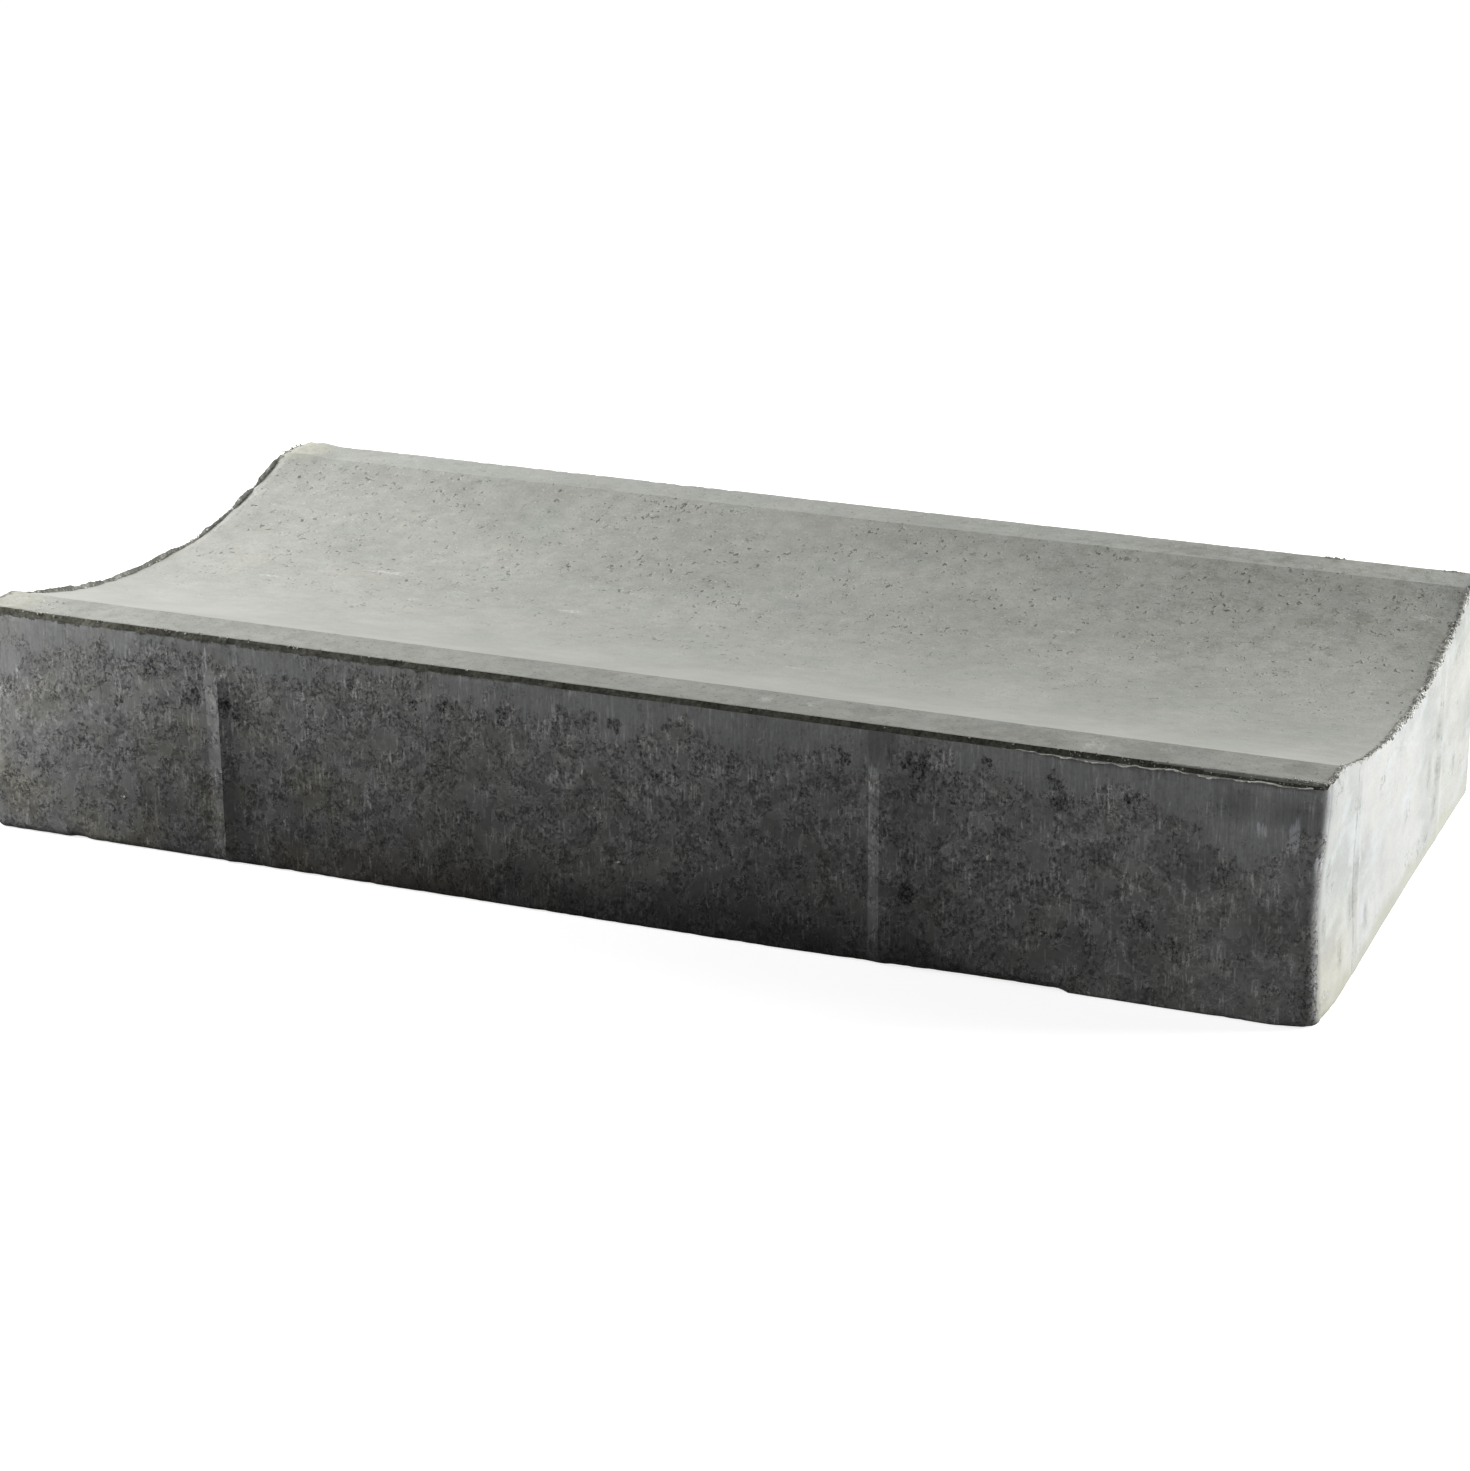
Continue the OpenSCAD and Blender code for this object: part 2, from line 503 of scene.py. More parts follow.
def attribute(tree, name):
    """What was written on the block's points under that name."""
    return grow(tree, "ShaderNodeAttribute", {}, "Fac", attribute_name=name)


def bumped(shader, height, depth, below=None):
    """Relief from a height of 0 to 1 over that many metres."""
    inputs = {"Height": height, "Distance": depth, "Strength": 1.0}
    if below is not None:
        inputs["Normal"] = below
    made = grow(shader.id_data, "ShaderNodeBump", inputs)
    shader.id_data.links.new(made, shader.inputs["Normal"])
    return made


def pressed_stone():
    """The pressed top: fine sandy grey, rougher and more open on the far slope, darker on the rims."""
    stone, tree, shader, place = new_stone("pressed_concrete", 0.92)
    across = on_axis(place, "Y")
    rim = between(sums("ABSOLUTE", across), channel_half - 0.3 * mm, channel_half + 0.3 * mm)
    far_rim = times(rim, between(across, 0, channel_half))
    colour = tint(between(cloud(place, 70 * mm, 2), 0.35, 0.65),
                  (0.433, 0.440, 0.407, 1), (0.460, 0.462, 0.425, 1))
    blue = between(cloud(moved(place, start=3), 28 * mm, 2), 0.5, 0.7, 0, 0.4)
    colour = tint(blue, colour, (0.412, 0.432, 0.406, 1))
    wild = between(across, -90 * mm, 40 * mm, 0.3, 1.0)
    colour = stained(colour, (0.95, 0.95, 0.95, 1), wild)
    along_block = on_axis(place, "X")
    near_slope = between(across, -channel_half, -50 * mm, between(along_block, 0, 240 * mm, 0.955, 1.03), 1.0)
    colour = stained(colour, near_slope)
    grain = cloud(place, 9 * mm, 6, 0.72)
    mottled = stained(colour, between(grain, 0.3, 0.7, 0.87, 1.13))
    sand = cloud(moved(place, start=7), 0.9 * mm, 2, 0.6)
    mottled = stained(mottled, between(sand, 0.25, 0.75, 0.93, 1.07))
    colour = tint(times(wild, between(far_rim, 0, 1, 1, 0.3)), colour, mottled)
    # pocks: pin holes that come in clusters, painted dark as shade in the holes, each with a painted
    # highlight on its far side; the smaller pricks are painted dark the same way
    pit = cloud(moved(place, (1, 0.65, 1), 1), 2.7 * mm, 4, 0.65)
    nests = between(cloud(moved(place, start=2), 18 * mm, 4, 0.65), 0.42, 0.60, 0.10, 1)
    rough_half = times(between(wild, 0.4, 1.0, 0.12, 1),
                       between(along_block, -200 * mm, 200 * mm, 0.95, 1.15))
    rough_half = times(rough_half, between(rim, 0, 1, 1, 0.35))
    pores = times(between(pit, 0.61, 0.645), nests, rough_half)
    pricks = cloud(moved(place, (1, 0.7, 1), 17), 1.1 * mm, 2, 0.6)
    pricks = times(between(pricks, 0.64, 0.68), rough_half, between(nests, 0, 1, 0.45, 1))
    beyond = grow(tree, "ShaderNodeVectorMath", {0: place, 1: (-0.5 * mm, -0.8 * mm, 0)}, operation="ADD")
    shifted_pock = cloud(moved(beyond, (1, 0.65, 1), 1), 2.7 * mm, 4, 0.65)
    pock_highlights = times(between(shifted_pock, 0.61, 0.65), nests, rough_half)
    pock_highlights = sums("MAXIMUM", sums("SUBTRACT", pock_highlights, pores), 0.0)
    colour = tint(times(pock_highlights, 0.5), colour, (0.62, 0.63, 0.59, 1))
    colour = tint(times(pores, 0.68), colour, (0.10, 0.10, 0.08, 1))
    colour = tint(times(pricks, 0.45), colour, (0.10, 0.10, 0.08, 1))
    grime = between(cloud(moved(place, start=16), 9 * mm, 6, 0.75), 0.50, 0.60)
    far_right = times(between(along_block, 20 * mm, 230 * mm, 0.25, 1), between(across, 0, 80 * mm, 0.2, 1))
    colour = stained(colour, (0.81, 0.81, 0.775, 1), times(grime, far_right))
    grit = between(cloud(moved(place, start=5), 1.4 * mm, 1), 0.68, 0.73, 0, 0.5)
    colour = tint(times(grit, wild), colour, (0.66, 0.67, 0.63, 1))
    chalk = between(cloud(moved(place, start=14), 38 * mm, 3), 0.42, 0.62, 0.96, 1.04)
    colour = stained(colour, chalk)
    smear = between(cloud(moved(place, start=6), 1.6 * mm, 3, 0.7), 0.3, 0.7, -0.6, 0.6)
    smear = between(sums("ADD", smear, attribute(tree, "pale")), 0.55, 0.8, 0, 0.6)
    smear = times(smear, between(attribute(tree, "pale"), 0.1, 0.3))
    colour = tint(smear, colour, (0.62, 0.64, 0.60, 1))
    # the rims were pressed harder: the near one is the darker
    dark_rim = between(across, -channel_half, channel_half, 0.86, 1.0)
    colour = stained(colour, dark_rim, rim)
    ragged_rim = cloud(moved(place, start=18), 6 * mm, 5, 0.72)
    ragged_rim = between(ragged_rim, 0.3, 0.7, -0.7, 0.7)
    shades = between(sums("ADD", attribute(tree, "dark_patch_and_rib_shadow"), ragged_rim), 0.2, 0.75)
    colour = stained(colour, (0.86, 0.855, 0.85, 1), times(shades, rim))
    rim_grain = stained(between(grain, 0.3, 0.7, 0.90, 1.10), between(sand, 0.25, 0.75, 0.93, 1.07))
    rim_grain = tint(times(far_rim, 0.7), rim_grain, (0.96, 0.97, 0.98, 1))
    colour = stained(colour, rim_grain, rim)
    # painted shade where the front rim rolls over into its bevel
    rim_roll_shade = between(sums("ADD", across, times(cloud(place, 2 * mm, 3), 1 * mm)),
                     bevel_size + 1.9 * mm - half_width, bevel_size + 0.3 * mm - half_width)
    rim_roll_shade = times(rim_roll_shade, between(along_block, 120 * mm, 200 * mm, 1, 0.3))
    colour = stained(colour, (0.6, 0.6, 0.57, 1), rim_roll_shade)
    specks = between(cloud(moved(place, start=9), 1.6 * mm, 3, 0.7), 0.60, 0.66, 0, 0.6)
    colour = tint(times(specks, rim, between(far_rim, 0, 1, 1, 0.4)), colour, (0.16, 0.16, 0.14, 1))
    sandy = times(attribute(tree, "cream"), between(cloud(place, 3 * mm, 3), 0.35, 0.6, 0.3, 1))
    colour = tint(sandy, colour, (0.49, 0.485, 0.415, 1))
    # dark broken edges near the ends, with painted shade beside the end lips
    dark_edge_and_lip_shade = between(sums("MULTIPLY", attribute(tree, "broken_edge_and_lip_shade"), cloud(place, 1.5 * mm, 2)),
                          0.30, 0.5, 0, 0.85)
    colour = tint(dark_edge_and_lip_shade, colour, (0.15, 0.15, 0.12, 1))
    tree.links.new(colour, shader.inputs["Base Color"])
    relief = bumped(shader, times(grain, wild), 0.5 * mm)
    relief = bumped(shader, times(sand, wild), 0.12 * mm, relief)
    bumped(shader, sums("SUBTRACT", 1.0, pores), 0.4 * mm, relief)
    return stone


def moulded_stone():
    """The sides: drawn out of the steel mould, with drag lines, voids and a skin of slurry."""
    stone, tree, shader, place = new_stone("moulded_concrete", 0.9)
    along_block = on_axis(place, "X")
    across = on_axis(place, "Y")
    height = on_axis(place, "Z")
    around = times(along_block, sums("SIGN", across), -1.0)
    colour = tint(between(cloud(place, 45 * mm, 2), 0.35, 0.65),
                  (0.330, 0.329, 0.328, 1), (0.375, 0.373, 0.370, 1))
    # paler towards both ends, and painted shade that darkens the face towards its base, most in the middle
    ends = sums("MAXIMUM", between(along_block, -205 * mm, -275 * mm),
                between(along_block, 100 * mm, 255 * mm))
    ends_light_and_foot_shade = times(between(ends, 0, 1, 0.92, 1.36), between(height, 5 * mm, 92 * mm, 0.84, 1.16))
    middle = between(ends, 0, 0.8, 1, 0)
    upper = between(along_block, -150 * mm, -20 * mm, 0.98, 1.22)
    mid_foot_shade = tint(middle, (1, 1, 1, 1), between(height, 8 * mm, 92 * mm, 0.66, upper))
    colour = stained(colour, stained(mid_foot_shade, ends_light_and_foot_shade))
    left_end = times(between(height, 5 * mm, 45 * mm, 0.84, 0.97), between(height, 55 * mm, 90 * mm, 1, 0.86))
    colour = stained(colour, left_end, between(along_block, -225 * mm, -255 * mm))
    warm = times(between(cloud(moved(place, start=4), 24 * mm, 3), 0.46, 0.66, 0, 0.9),
                 between(along_block, 20 * mm, -150 * mm, 0.15, 1),
                 between(height, 75 * mm, 35 * mm, 0.35, 1))
    colour = stained(colour, (1.0, 0.98, 0.86, 1), warm)
    # a skin of fine slurry hangs down from the top in ragged tongues, lowest at the right end
    level = times(cloud(place, 26 * mm, 3, 0.55), 58 * mm)
    drip = times(cloud(moved(place, (1, 1, 0.18)), 4 * mm, 3, 0.65), 24 * mm)
    edge = sums("ADD", height, sums("ADD", level, drip))
    edge = sums("ADD", edge, between(along_block, 225 * mm, 262 * mm, 0, 11 * mm))
    edge = sums("ADD", edge, between(along_block, -245 * mm, -280 * mm, 0, 9 * mm))
    skin = between(edge, 125 * mm, 130 * mm, 0, 0.9)
    bare = sums("SUBTRACT", 1.0, skin)
    # below it lie smooth plates with ragged, pale edges, and torn, gritty ground between them
    lay = cloud(moved(place, (1, 1, 0.85), 8), 9 * mm, 6, 0.66, 0.6)
    torn_ground = times(between(lay, 0.485, 0.498),
                        between(along_block, 200 * mm, 250 * mm, 1, 0.45))
    outline = times(between(lay, 0.472, 0.478), between(lay, 0.494, 0.500, 1, 0))
    outline = times(outline, between(cloud(moved(place, start=15), 7 * mm, 4, 0.7), 0.42, 0.48))
    plates = flakes(place, 6 * mm)
    small_plates = flakes(moved(place, start=11), 2.6 * mm)
    chips = flakes(moved(place, (1, 1, 0.8), 13), 1.1 * mm, 1.2)
    grain = cloud(moved(place, (1, 1, 0.8)), 5 * mm, 5, 0.8)
    fine = cloud(moved(place, (1, 1, 0.6), 8), 1.1 * mm, 2, 0.75)
    calm = times(between(plates, 0, 1, 0.77, 1.17), between(small_plates, 0, 1, 0.91, 1.08),
                 between(fine, 0.3, 0.7, 0.94, 1.06))
    wild = times(between(plates, 0, 1, 0.86, 1.08), between(small_plates, 0, 1, 0.76, 1.18),
                 between(grain, 0.3, 0.7, 0.80, 1.16), between(chips, 0, 1, 0.54, 1.40))
    mottle = times(tint(torn_ground, calm, wild), between(outline, 0, 1, 1, 1.5))
    mottle = tint(between(along_block, -220 * mm, -250 * mm, 0, 0.2), mottle, (0.97, 0.97, 0.97, 1))
    streak = cloud(moved(place, (1, 1, 0.05)), 0.9 * mm, 3, 0.75)
    brushed = times(between(streak, 0.3, 0.7, 0.84, 1.18), between(fine, 0.3, 0.7, 0.90, 1.10))
    smooth_skin = stained((1.08, 1.10, 1.12, 1), brushed)
    colour = stained(colour, tint(skin, mottle, smooth_skin))
    # light hair lines where grains were dragged up the mould wall
    hair = flakes(moved(place, (1, 1, 0.14), 1), 0.7 * mm, 0.35)
    long_hair = cloud(moved(place, (1, 1, 0.06), 2), 0.7 * mm, 1)
    dragged = between(cloud(moved(place, start=2), 12 * mm, 2), 0.42, 0.6, 0.15, 1)
    hairs = times(sums("MAXIMUM", between(hair, 0.86, 0.90), between(long_hair, 0.67, 0.74)),
                  dragged, between(skin, 0, 1, 1, 0.45),
                  between(along_block, -190 * mm, -250 * mm, 1, 0.5))
    colour = stained(colour, (1.75, 1.75, 1.73, 1), hairs)
    # open marks gathered in blotches, and the larger voids, both painted dark as shade in them
    crumbled = cloud(moved(place, (1, 1, 0.8), 3), 1.4 * mm, 3, 0.75)
    nests = between(cloud(moved(place, start=5), 10 * mm, 3, 0.6), 0.50, 0.60)
    torn_hem = times(between(edge, 116 * mm, 124 * mm), between(edge, 124 * mm, 130 * mm, 0.8, 0))
    nests = sums("MAXIMUM", nests, torn_hem)
    worn_corner = times(between(along_block, 280 * mm, 286 * mm), between(height, 60 * mm, 25 * mm))
    nests = sums("MAXIMUM", nests, worn_corner)
    marks = times(between(crumbled, 0.535, 0.575), nests, between(skin, 0, 1, 1, 0.3))
    torn_out = cloud(moved(place, (1, 1, 0.85), 12), 4.5 * mm, 5, 0.75)
    void = between(sums("ADD", attribute(tree, "scar"), between(torn_out, 0.3, 0.7, -1.1, 1.1)),
                   0.50, 0.66)
    void = times(void, between(attribute(tree, "scar"), 0.0, 0.15))
    colour = tint(times(marks, 0.66), colour, (0.08, 0.08, 0.075, 1))
    colour = stained(colour, between(crumbled, 0.38, 0.60, 0.85, 0.14), void)
    grit = cloud(moved(place, start=6), 1.4 * mm, 1)
    grit = between(sums("ADD", grit, times(worn_corner, 0.1)), 0.71, 0.77, 0, 0.6)
    colour = tint(grit, colour, (0.62, 0.60, 0.50, 1))
    # dark smooth patches and the painted shadow in the angle behind each rib, and the fields that
    # the mould left: a dark one above the right rib, and a faint one above the left
    colour = stained(colour, between(attribute(tree, "dark_patch_and_rib_shadow"), 0, 1, 1, 0.58))
    for (ridge, before, _), dark in zip(front_ribs, (0.90, 0.66)):
        field = times(between(around, ridge - before - 0.4 * mm, ridge - before),
                      between(around, ridge + 7 * mm, ridge + 7.5 * mm, 1, 0),
                      between(height, rib_top - 5 * mm, rib_top - 1 * mm))
        colour = stained(colour, (dark, dark, dark, 1), field)
    # pale smears, and the polish and painted light on the rib flanks
    brush = cloud(moved(place, (1, 1, 0.10), 19), 1.8 * mm, 3, 0.6)
    strength = attribute(tree, "pale")
    crisp = between(sums("ADD", strength, between(brush, 0.3, 0.7, -0.35, 0.35)), 0.4, 0.65)
    faint = times(attribute(tree, "cream"), between(brush, 0.40, 0.56, 0.5, 1))
    smears_polish_and_flank_light = sums("MAXIMUM", times(crisp, between(strength, 0.2, 0.4)), faint)
    colour = stained(colour, (1.8, 1.85, 1.9, 1), smears_polish_and_flank_light)
    # painted shade among crumbs of mortar below the torn bevel, most of all towards the left
    under_bevel_shade = sums("ADD", height, times(cloud(place, 3 * mm, 4, 0.75), 6 * mm))
    under_bevel_shade = times(between(under_bevel_shade, 100.3 * mm, 100.8 * mm), between(around, 40 * mm, -120 * mm, 0, 1))
    colour = tint(times(under_bevel_shade, 0.8), colour, (0.10, 0.10, 0.085, 1))
    # painted shade along the foot, browner towards the left end where it is a stain
    foot_shade_amount = times(attribute(tree, "foot_shade_and_stain"), between(cloud(place, 16 * mm, 3), 0.3, 0.6, 0.7, 1.1))
    brown = tint(between(along_block, -40 * mm, -110 * mm, 0, 1), (0.40, 0.40, 0.40, 1),
                 (0.52, 0.46, 0.40, 1))
    colour = stained(colour, brown, foot_shade_amount)
    tree.links.new(colour, shader.inputs["Base Color"])
    relief = bumped(shader, times(torn_ground, bare, -1.0), 0.12 * mm)
    relief = bumped(shader, times(grain, torn_ground, bare), 0.5 * mm, relief)
    bumped(shader, sums("SUBTRACT", 1.0, sums("MAXIMUM", marks, void)), 0.4 * mm, relief)
    return stone


def end_stone():
    """The two end faces: the same casting under a pale, smooth skin of dried slurry."""
    stone, tree, shader, place = new_stone("end_concrete", 0.9)
    height = on_axis(place, "Z")
    wash = cloud(moved(place, (1, 0.6, 1)), 34 * mm, 4, 0.5)
    colour = tint(between(wash, 0.38, 0.60), (0.435, 0.446, 0.438, 1), (0.545, 0.550, 0.532, 1))
    milk = between(cloud(moved(place, (1, 0.5, 1), 6), 14 * mm, 4, 0.65), 0.52, 0.62, 0, 0.55)
    colour = tint(milk, colour, (0.56, 0.59, 0.59, 1))
    streak = cloud(moved(place, (1, 0.35, 1)), 5 * mm, 5, 0.65)
    colour = stained(colour, between(streak, 0.3, 0.7, 0.945, 1.04))
    grain = cloud(moved(place, (1, 0.5, 1), 2), 1.4 * mm, 3, 0.7)
    colour = stained(colour, between(grain, 0.3, 0.7, 0.965, 1.035))
    rub = between(cloud(moved(place, (1, 0.7, 0.9), 3), 2.4 * mm, 4, 0.7), 0.50, 0.60)
    here = sums("MAXIMUM", attribute(tree, "scar"),
                between(cloud(moved(place, (1, 0.6, 1), 4), 16 * mm, 3), 0.56, 0.66, 0, 0.6))
    scuffs = times(rub, here)
    colour = tint(times(scuffs, 0.6), colour, (0.20, 0.21, 0.195, 1))
    shade = between(attribute(tree, "scar"), 0, 0.8, 0, 0.6)
    colour = tint(shade, colour, (0.36, 0.37, 0.355, 1))
    # a drip line of dirt down the foot of the left rib, and a warmer, duller far end
    across = on_axis(place, "Y")
    along_block = on_axis(place, "X")
    around = times(across, sums("SIGN", along_block))
    trail = sums("ADD", around, times(cloud(moved(place, (1, 1, 0.5), 9), 9 * mm, 3), 5 * mm))
    trail = times(between(trail, -82.0 * mm, -81.0 * mm), between(trail, -80.6 * mm, -79.4 * mm, 1, 0))
    trail = times(trail, between(cloud(place, 7 * mm, 3, 0.7), 0.42, 0.56))
    colour = tint(times(trail, 0.55), colour, (0.27, 0.28, 0.26, 1))
    dull = between(around, 20 * mm, 90 * mm)
    colour = stained(colour, (0.91, 0.905, 0.88, 1), dull)
    foot = sums("ADD", height, times(cloud(place, 30 * mm, 2), 22 * mm))
    colour = tint(between(foot, 20 * mm, 15 * mm, 0, 0.75), colour, (0.43, 0.435, 0.37, 1))
    cream = times(between(around, -75 * mm, -105 * mm), between(foot, 60 * mm, 30 * mm))
    colour = stained(colour, (0.98, 0.955, 0.88, 1), cream)
    # the slurry lies thickest, and palest, half way up behind the front corner
    thick_skin = times(between(around, -62 * mm, -100 * mm), between(foot, 38 * mm, 52 * mm),
                       between(height, 82 * mm, 62 * mm))
    colour = stained(colour, (1.07, 1.08, 1.07, 1), thick_skin)
    broad = cloud(moved(place, (1, 0.7, 1), 21), 55 * mm, 2)
    colour = stained(colour, between(broad, 0.38, 0.62, 0.955, 1.025))
    tree.links.new(colour, shader.inputs["Base Color"])
    relief = bumped(shader, grain, 0.15 * mm)
    bumped(shader, sums("SUBTRACT", 1.0, scuffs), 0.2 * mm, relief)
    return stone


def torn_stone(name, dark, light):
    """Broken and squeezed-out mortar along the arrises: dark, open and gritty."""
    stone, tree, shader, place = new_stone(name, 0.95)
    grain = cloud(place, 1.6 * mm, 3, 0.75)
    colour = tint(between(grain, 0.35, 0.65), dark, light)
    along_block = on_axis(place, "X")
    colour = stained(colour, between(along_block, -280 * mm, -200 * mm, 1.25, 0.9))
    clots = cloud(moved(place, start=2), 12 * mm, 4, 0.7)
    colour = stained(colour, between(clots, 0.42, 0.60, 1.12, 0.62))
    tree.links.new(colour, shader.inputs["Base Color"])
    bumped(shader, grain, 0.25 * mm)
    return stone


pressed = pressed_stone()
moulded = moulded_stone()
ended = end_stone()
broken = torn_stone("torn_concrete", (0.16, 0.16, 0.135, 1), (0.37, 0.37, 0.33, 1))
bevelled = torn_stone("bevel_concrete", (0.07, 0.07, 0.056, 1), (0.185, 0.185, 0.155, 1))
paver = cast("channel_paver_block", block, pressed, moulded, bevelled, ended)
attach(paver, "root")
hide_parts("channel_paver")

# ---------------------------------------------------------------------------
# Lips along the two end arrises: thin ragged mortar squeezed up between the
# press shoe and the mould's end walls, and never rubbed off. The left end
# keeps a taller one than the right.
# ---------------------------------------------------------------------------
lip_root = 4 * mm
lip_edge = 0.6 * mm
lip_parts = (2, 380, 5)
left_lip = ((0, 0.8), (20, 0.3), (38, 0.3), (45, 1.1), (66, 2.0), (74, 1.3), (80, 1.8), (98, 1.0),
            (112, 1.9), (128, 1.2), (143, 1.8), (152, 1.2), (160, 0), (176, -1.4), (182, -0.1), (205, -1.2),
            (216, 0.4), (224, -0.1), (230, -1.9), (236, 0.1), (248, 0.3), (260, -1.7), (280, -1.8))
right_lip = ((0, 0.3), (23, 0.4), (60, 0.2), (120, 0.1), (180, 0.1), (257, 0.2), (280, 0.3))


def along(points, place):
    """Straight runs between given points, in millimetres from the front face."""
    place = place / mm
    for (start, low), (end, high) in zip(points, points[1:]):
        if place <= end:
            return (low + (high - low) * (place - start) / (end - start)) * mm
    return points[-1][1] * mm


def end_lip(name, end, heights, foot, finish):
    """A standing lip on the end face's plane, following the hollow from rim to rim."""
    bm = sawn_block(lip_parts)
    for vert in bm.verts:
        across, share, up = vert.co
        y = (share * 2 - 1) * (half_width - corner_r - 0.5 * mm)
        tall = along(heights, y + half_width) + 0.5 * mm * ragged(y, 0, 0, 4 * mm, 11)
        tall += 0.35 * mm * ragged(y, 0, 0, 1.2 * mm, 12)
        thick = foot + (lip_edge - foot) * up
        lean = 0.5 * mm * ragged(y, up * 2 * mm, 0, 6 * mm, 13) * up
        lean += 0.15 * mm * ragged(y, up * mm, 0, 1.5 * mm, 14)
        x = half_length - thick * across + lean - (0.4 - 0.35 * up) * mm
        z = top_height(y) - lip_root + (lip_root + tall) * up
        vert.co = (end * x + spread(end * half_length, y, block_height), y, z)
    bmesh.ops.recalc_face_normals(bm, faces=bm.faces)
    for face in bm.faces:
        face.smooth = True
    lip = cast(name, bm, finish)
    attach(lip, "root")


left_finish = torn_stone("left_lip_concrete", (0.13, 0.13, 0.115, 1), (0.32, 0.32, 0.29, 1))
end_lip("left_end_lip", -1, left_lip, 2.6 * mm, left_finish)
right_finish = torn_stone("right_lip_concrete", (0.34, 0.34, 0.31, 1), (0.68, 0.68, 0.64, 1))
end_lip("right_end_lip", 1, right_lip, 1.3 * mm, right_finish)

# ---------------------------------------------------------------------------
# Flash along the lower edge of each rim bevel: a paper-thin fin of slurry that
# crept up the mould wall beside the press shoe. It runs along one end of the bevel.
# Its pale finish is partly painted light, for the light that falls on the fin from above.
# ---------------------------------------------------------------------------
sandy = torn_stone("sandy_concrete", (0.44, 0.44, 0.41, 1), (0.68, 0.68, 0.64, 1))
# a pale finish for crumbs and the flash; on the flash it is partly painted light
pale_finish_and_flash_light = torn_stone("pale_finish_and_flash_light_concrete", (0.66, 0.66, 0.62, 1), (0.86, 0.86, 0.82, 1))
flash_start = 160 * mm
flash_end = half_length - 4 * mm
flash_thick = 0.35 * mm
flash_root = 0.9 * mm
flash_parts = (380, 2, 4)


def rim_flash(name, side):
    """One fin; it stands on the right part of the front, and turned half round on the back."""
    bm = sawn_block(flash_parts)
    for vert in bm.verts:
        share, across, up = vert.co
        run = flash_start + (flash_end - flash_start) * share
        waves = 1.3 * ragged(run, 0, side, 7 * mm, 21) + 0.9 * ragged(run, 0, side, 1.8 * mm, 22)
        grown = smooth_step(flash_start, flash_start + 40 * mm, run)
        reach = min(max(0, grown * mm * (0.9 + waves)), 1.9 * mm)
        level = (0.8 * ragged(run, 0, side, 17 * mm, 23) + 0.6 * ragged(run, 0, side, 4 * mm, 24)) * mm
        y = half_width + reach - (flash_root + reach) * across
        z = block_height - bevel_size - 0.3 * mm + level + flash_thick * up
        vert.co = (-side * run, side * y, z)
    flash = cast(name, bm, pale_finish_and_flash_light)
    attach(flash, "root")


rim_flash("front_rim_flash", -1)
rim_flash("back_rim_flash", 1)

# ---------------------------------------------------------------------------
# Crumbs: grains of sand and cement that broke off the green casting and set
# where they fell, along the arrises and on the laitance of the left corners.
# ---------------------------------------------------------------------------
chance = random.Random(41)
crumb_places = []


def scatter(count, x_range, y_range, sizes):
    """Seeded places for crumbs over a part of the top."""
    for _ in range(count):
        place = Vector((chance.uniform(*x_range), chance.uniform(*y_range), 0))
        crumb_places.append((place, chance.uniform(*sizes) * mm))


inside = half_length - 0.4 * mm
scatter(110, (right - 1.6 * mm, right - 0.2 * mm), (front + 7 * mm, 0), (0.2, 0.5))
scatter(110, (right - 1.6 * mm, right - 0.2 * mm), (-20 * mm, back - 3 * mm), (0.3, 0.8))
scatter(50, (right - 1.4 * mm, right), (40 * mm, back - 3 * mm), (0.4, 0.9))
scatter(40, (right - 14 * mm, right - 2 * mm), (front + 1.5 * mm, front + 4 * mm), (0.25, 0.5))
scatter(60, (-inside, left + 2.5 * mm), (front + 4 * mm, back - 3 * mm), (0.3, 0.7))
scatter(60, (-inside, left + 22 * mm), (back - 24 * mm, back - 2.5 * mm), (0.35, 0.8))
scatter(45, (-inside, left + 30 * mm), (front + 2.5 * mm, front + 20 * mm), (0.3, 0.6))
scatter(70, (left, -60 * mm), (front + 1.2 * mm, front + 3.2 * mm), (0.25, 0.55))
scatter(30, (60 * mm, inside), (front + 1.2 * mm, front + 3.2 * mm), (0.25, 0.45))
scatter(60, (190 * mm, inside), (front + 0.3 * mm, front + 1.8 * mm), (0.2, 0.38))
scatter(50, (left + 20 * mm, right - 20 * mm), (10 * mm, channel_half), (0.2, 0.45))
scatter(70, (right - 1.8 * mm, right + 0.2 * mm), (front + 1.5 * mm, front + 26 * mm), (0.25, 0.6))
# two knots of mortar on the far rim near the right end
knots = [(chance.triangular(510, 521), 0.55) for _ in range(26)]
knots += [(chance.triangular(563, 573), 0.45) for _ in range(22)]
for from_left, size in knots:
    place = Vector((left + from_left * mm, back - chance.uniform(2, 3.4) * mm, 0))
    crumb_places.append((place, size * chance.uniform(0.7, 1.2) * mm))
# clots that hang on the right end just below its arris, most of all on its far half
hanging = []
for _ in range(260):
    low = chance.uniform(0, 1) ** 2 * 2.6 * mm
    span = chance.triangular(-60 * mm, back - 4 * mm, 60 * mm)
    low *= smooth_step(-80 * mm, 20 * mm, span)
    place = Vector((right - 0.15 * mm, span, top_height(span) - low))
    hanging.append((place, chance.uniform(0.3, 1.05) * mm))
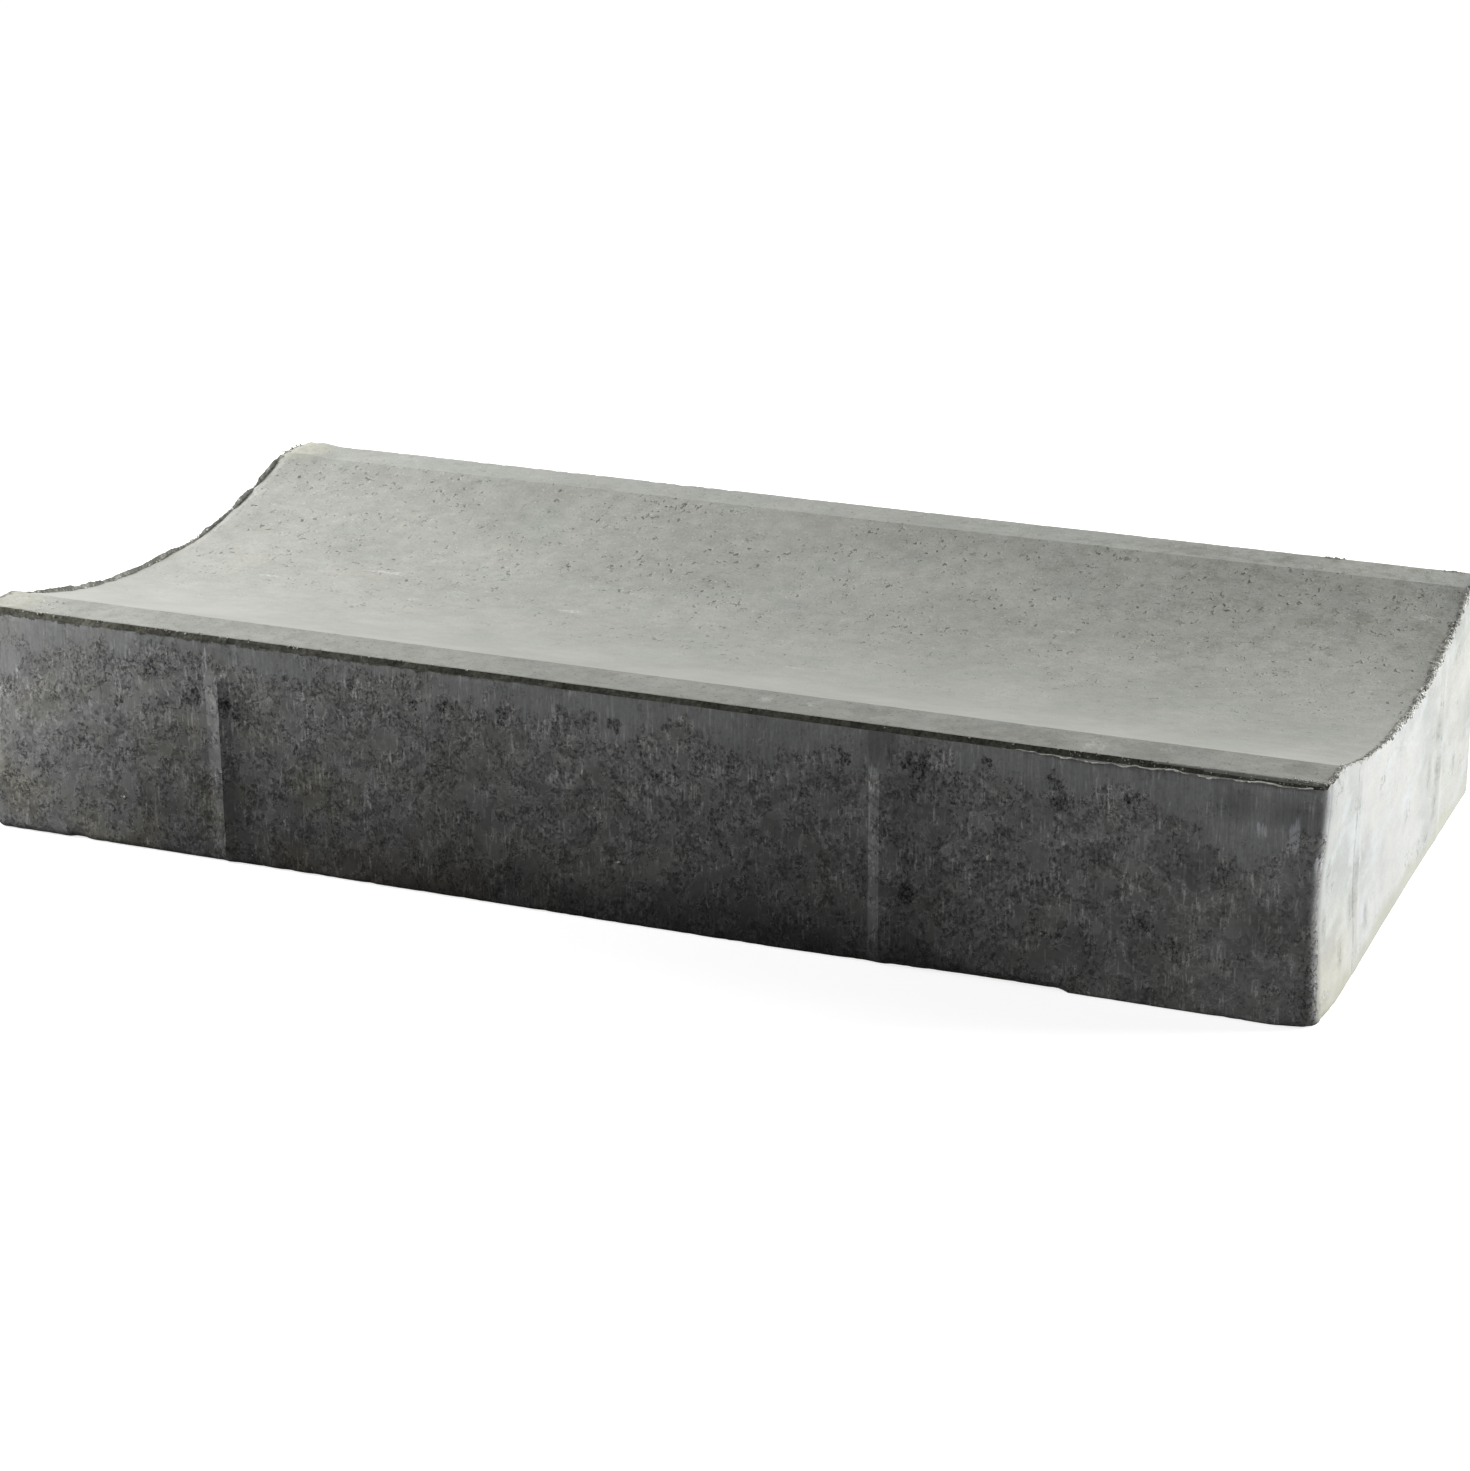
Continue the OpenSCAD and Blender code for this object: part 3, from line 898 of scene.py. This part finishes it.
# rounded grains of gravel lie bare in the front face: from the left end, from the base, and radius
for from_left, from_base, size in ((450, 52, 2.3), (293, 27, 1.1), (283, 49, 0.9), (64, 23, 0.9)):
    place = Vector((left + from_left * mm, front + 0.25 * size * mm, from_base * mm))
    hanging.append((place, size * mm))
for place, radius in crumb_places:
    place.z = top_height(place.y) + 0.25 * radius
    # none lies past the rounded corners
    turn = max(0, corner_r - half_width + abs(place.y))
    reach = half_length + 0.2 * mm - corner_r + math.sqrt(corner_r ** 2 - turn ** 2)
    place.x = max(-reach, min(place.x, reach))
    place.x += spread(place.x, place.y, block_height)
crumb_places += hanging
SANDY, BROKEN, CHALKY = range(3)
NOISE_SEED = 1795366854
crumb_bm = bmesh.new()
for place, radius in crumb_places:
    wide, deep, tall = chance.uniform(0.7, 1.3), chance.uniform(0.7, 1.3), chance.uniform(0.55, 1)
    squeeze = Matrix.Diagonal((wide, deep, tall, 1))
    spin = Matrix.Rotation(chance.uniform(0, math.tau), 4, (chance.random(), chance.random(), 1))
    made = bmesh.ops.create_icosphere(crumb_bm, subdivisions=1, radius=radius,
                                      matrix=Matrix.Translation(place) @ spin @ squeeze)
    kind = chance.random()
    if place.x > half_length - 2 * mm:
        finish = BROKEN if kind < 0.08 else CHALKY if kind < 0.7 else SANDY
    else:
        finish = CHALKY if place.z < 60 * mm else SANDY
    for face in {face for vert in made["verts"] for face in vert.link_faces}:
        face.smooth = True
        face.material_index = finish
# Blender seeds its vector noise from the clock, so the seed is set here
noise.seed_set(NOISE_SEED)
for vert in crumb_bm.verts:
    vert.co += 0.12 * mm * noise.noise_vector(vert.co / (0.7 * mm))
crumbs = cast("edge_crumbs", crumb_bm, sandy, broken, pale_finish_and_flash_light)
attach(crumbs, "root")

# ---------------------------------------------------------------------------
# Studio: a plain white floor that keeps the block's shadow, and soft lamps,
# the strongest at the two ends.
# ---------------------------------------------------------------------------
def white_for(tree):
    """1 for the rays that show the white room: those of the camera, of gloss and of glass."""
    rays = tree.nodes.new("ShaderNodeLightPath")
    shine = sums("MAXIMUM", rays.outputs["Is Glossy Ray"], rays.outputs["Is Transmission Ray"])
    return sums("MAXIMUM", rays.outputs["Is Camera Ray"], shine)


bpy.ops.mesh.primitive_plane_add(size=30, location=(0, 0, 0))
floor = bpy.context.object
floor.name = "floor"
paint = bpy.data.materials.new("white_floor")
paint.use_nodes = True
floor_tree = paint.node_tree
floor_tree.nodes.remove(floor_tree.nodes["Principled BSDF"])
seen = white_for(floor_tree)
plain = grow(floor_tree, "ShaderNodeBsdfDiffuse", {"Color": (0.1, 0.1, 0.1, 1)})
bright = grow(floor_tree, "ShaderNodeBsdfDiffuse", {"Color": (0.75, 0.75, 0.75, 1)})
# Away from the block, where the lamps fade, the floor glows up to the white of the room
spot = grow(floor_tree, "ShaderNodeTexCoord", {}, "Object")
far_off = grow(floor_tree, "ShaderNodeVectorMath", {0: spot}, "Value", operation="LENGTH")
level = between(far_off, 0.45, 1.2, 0.80, 1.0)
glow = grow(floor_tree, "ShaderNodeEmission", {"Color": (1, 1, 1, 1), "Strength": level})
shown = grow(floor_tree, "ShaderNodeAddShader", {0: bright, 1: glow})
either = grow(floor_tree, "ShaderNodeMixShader", {0: seen, 1: plain, 2: shown})
floor_tree.links.new(either, floor_tree.nodes["Material Output"].inputs["Surface"])
floor.data.materials.append(paint)

world = bpy.data.worlds.new("studio")
bpy.context.scene.world = world
world.use_nodes = True
sky = world.node_tree
sky_seen = white_for(sky)
room = grow(sky, "ShaderNodeBackground", {"Color": (1, 1, 1, 1), "Strength": 0.02})
backdrop = grow(sky, "ShaderNodeBackground", {"Color": (1, 1, 1, 1), "Strength": 1.0})
whole = grow(sky, "ShaderNodeMixShader", {0: sky_seen, 1: room, 2: backdrop})
sky.links.new(whole, sky.nodes["World Output"].inputs["Surface"])


def softbox(name, place, aim, size, power):
    """A square soft lamp at a place, turned to its aim."""
    light = bpy.data.lights.new(name, "AREA")
    light.size = size
    light.energy = power
    lamp = bpy.data.objects.new(name, light)
    lamp.location = place
    lamp.rotation_euler = (Vector(aim) - Vector(place)).to_track_quat("-Z", "Y").to_euler()
    bpy.context.scene.collection.objects.link(lamp)


softbox("left_softbox", (-0.9, 0.35, 0.6), (-0.2, 0, 0.05), 0.6, 11.5)
softbox("left_front_lamp", (-1.0, -0.30, 0.30), (0, -0.14, 0.05), 0.3, 2.2)
softbox("near_left_lamp", (-0.50, -0.32, 0.35), (-0.27, -0.14, 0.06), 0.2, 1.1)
softbox("right_back_softbox", (1.5, 0.7, 0.5), (0.29, 0, 0.05), 0.8, 39.5)
softbox("near_right_lamp", (0.60, -0.45, 0.30), (0.27, -0.14, 0.05), 0.2, 0.28)

# The camera stands to the right of the block's middle and looks down on its front
camera_data = bpy.data.cameras.new("camera")
camera_data.sensor_fit = "VERTICAL"
camera_data.sensor_height = 36
camera_data.lens = 92.44
camera_data.shift_x = -0.0606
camera_data.shift_y = -0.0185
camera = bpy.data.objects.new("camera", camera_data)
camera_place = (0.5904, -1.4248, 0.5961)
turn_left = math.radians(21.22)
look_down = math.radians(19.63)
lean_over = math.radians(0.107)
camera.matrix_world = (
    Matrix.Translation(camera_place)
    @ Matrix.Rotation(turn_left, 4, "Z")
    @ Matrix.Rotation(math.radians(90) - look_down, 4, "X")
    @ Matrix.Rotation(lean_over, 4, "Z")
)
bpy.context.scene.collection.objects.link(camera)
bpy.context.scene.camera = camera
bpy.context.scene.view_settings.view_transform = "Standard"
